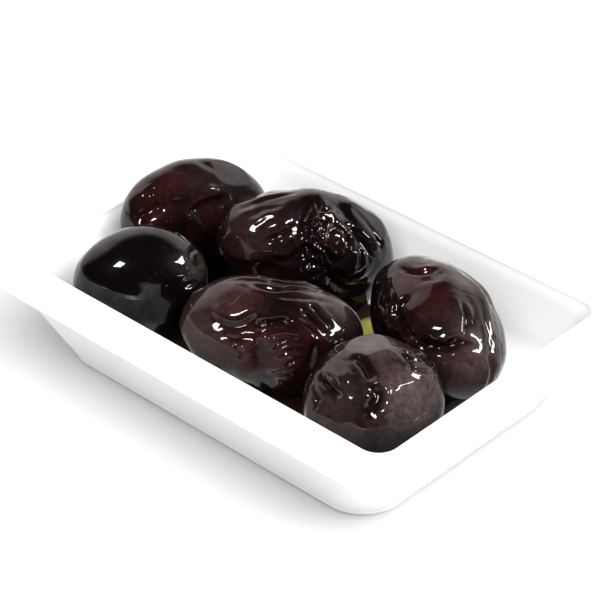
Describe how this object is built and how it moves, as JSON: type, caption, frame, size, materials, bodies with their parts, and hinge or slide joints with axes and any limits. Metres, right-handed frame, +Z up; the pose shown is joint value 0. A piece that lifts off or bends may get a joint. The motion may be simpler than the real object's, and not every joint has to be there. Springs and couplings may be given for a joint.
{
  "type": "dish of olives",
  "caption": "Small rectangular white porcelain dish with a flat flange rim, holding large wrinkled black olives in a shallow pool of oil.",
  "frame": {"origin": "middle of the flat foot, on the table", "axes": "+X along the dish's long side, +Y across it, +Z up"},
  "size_m": [0.083, 0.0596, 0.0231],
  "materials": {
    "porcelain": "smooth bright white glaze",
    "oil": "clear yellow-green liquid oil",
    "olive_skin": "wet oily black-brown wrinkled skin"
  },
  "bodies": {
    "root": {"dish": "porcelain", "oil": "oil", "olive_back_left": "olive_skin", "olive_left": "olive_skin", "olive_back_middle": "olive_skin", "olive_front_middle": "olive_skin", "olive_right": "olive_skin", "olive_front": "olive_skin"}
  },
  "joints": []
}
